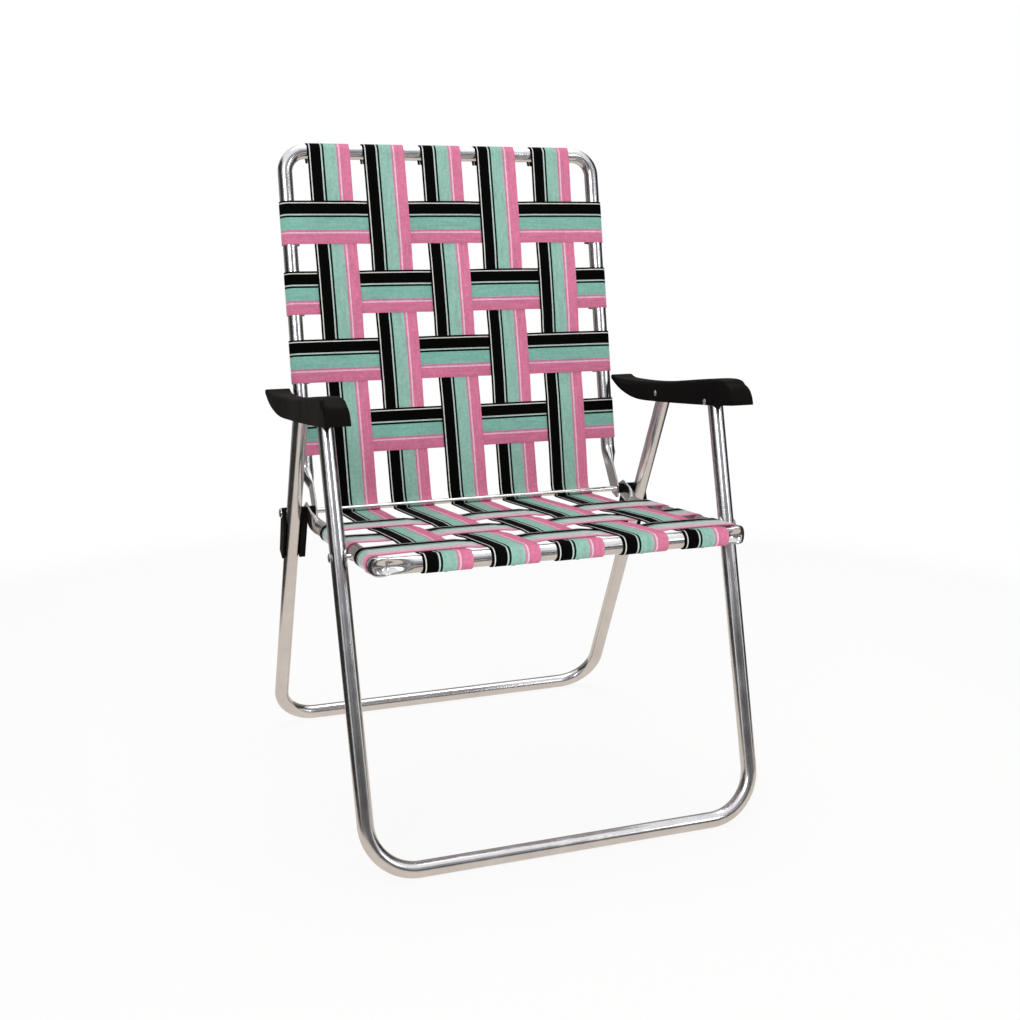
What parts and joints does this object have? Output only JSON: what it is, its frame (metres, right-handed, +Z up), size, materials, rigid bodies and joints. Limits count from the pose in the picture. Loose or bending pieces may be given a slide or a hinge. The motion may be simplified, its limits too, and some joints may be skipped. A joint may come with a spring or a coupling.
{
  "type": "folding webbed lawn chair",
  "caption": "Folding outdoor armchair of bent aluminium tube with woven striped webbing on the seat and back, moulded black armrests and a cross axle it folds about.",
  "frame": {"origin": "on the floor, midway between the front and rear leg bars and midway across the chair", "axes": "+Z up, the chair faces -Y, +X to the viewer's right when facing the chair from the front"},
  "size_m": [0.5294, 0.5384, 0.817],
  "materials": {
    "tube": "polished",
    "steel": "bright",
    "black_plastic": "satin",
    "webbing": "woven plastic, striped"
  },
  "bodies": {
    "rear_legs": {"rear_leg_frame": "tube", "axle_rod": "steel", "left_axle_cap": "steel", "right_axle_cap": "steel", "left_hinge_spacer": "black_plastic", "right_hinge_spacer": "black_plastic", "left_hinge_bracket": "black_plastic", "right_hinge_bracket": "black_plastic"},
    "seat": {"seat_frame": "tube", "seat_strap_1": "webbing", "seat_strap_2": "webbing", "seat_strap_3": "webbing", "seat_strap_4": "webbing", "seat_strap_5": "webbing", "seat_cross_strap_1": "webbing", "seat_cross_strap_2": "webbing", "seat_cross_strap_3": "webbing"},
    "back": {"back_frame": "tube", "back_strap_1": "webbing", "back_strap_2": "webbing", "back_strap_3": "webbing", "back_strap_4": "webbing", "back_strap_5": "webbing", "back_cross_strap_1": "webbing", "back_cross_strap_2": "webbing", "back_cross_strap_3": "webbing", "back_cross_strap_4": "webbing"},
    "armrests": {"left_armrest": "black_plastic", "right_armrest": "black_plastic", "left_arm_front_rivet": "steel", "left_arm_rear_rivet": "steel", "right_arm_front_rivet": "steel", "right_arm_rear_rivet": "steel"},
    "front_legs": {"front_leg_frame": "tube", "left_seat_rivet": "steel", "right_seat_rivet": "steel"}
  },
  "joints": [
    {"name": "seat_fold", "type": "hinge", "parent": "rear_legs", "child": "seat", "pos_m": [0, 0.10683, 0.3462], "axis": [-1, 0, 0], "range_deg": [0, 63.5]},
    {"name": "back_fold", "type": "hinge", "parent": "seat", "child": "back", "pos_m": [0, 0.10683, 0.3462], "axis": [1, 0, 0], "range_deg": [0, 98.4]},
    {"name": "armrest_pivot", "type": "hinge", "parent": "rear_legs", "child": "armrests", "pos_m": [0, 0.01927, 0.492], "axis": [-1, 0, 0], "range_deg": [0, 43.4]},
    {"name": "front_leg_pivot", "type": "hinge", "parent": "armrests", "child": "front_legs", "pos_m": [0, -0.11891, 0.498], "axis": [1, 0, 0], "range_deg": [0, 86.1]}
  ],
  "couplings": [
    {"joint": "back_fold", "follows": "seat_fold", "ratio": 1.549},
    {"joint": "armrest_pivot", "follows": "seat_fold", "ratio": 0.683},
    {"joint": "front_leg_pivot", "follows": "seat_fold", "ratio": 1.3539}
  ]
}
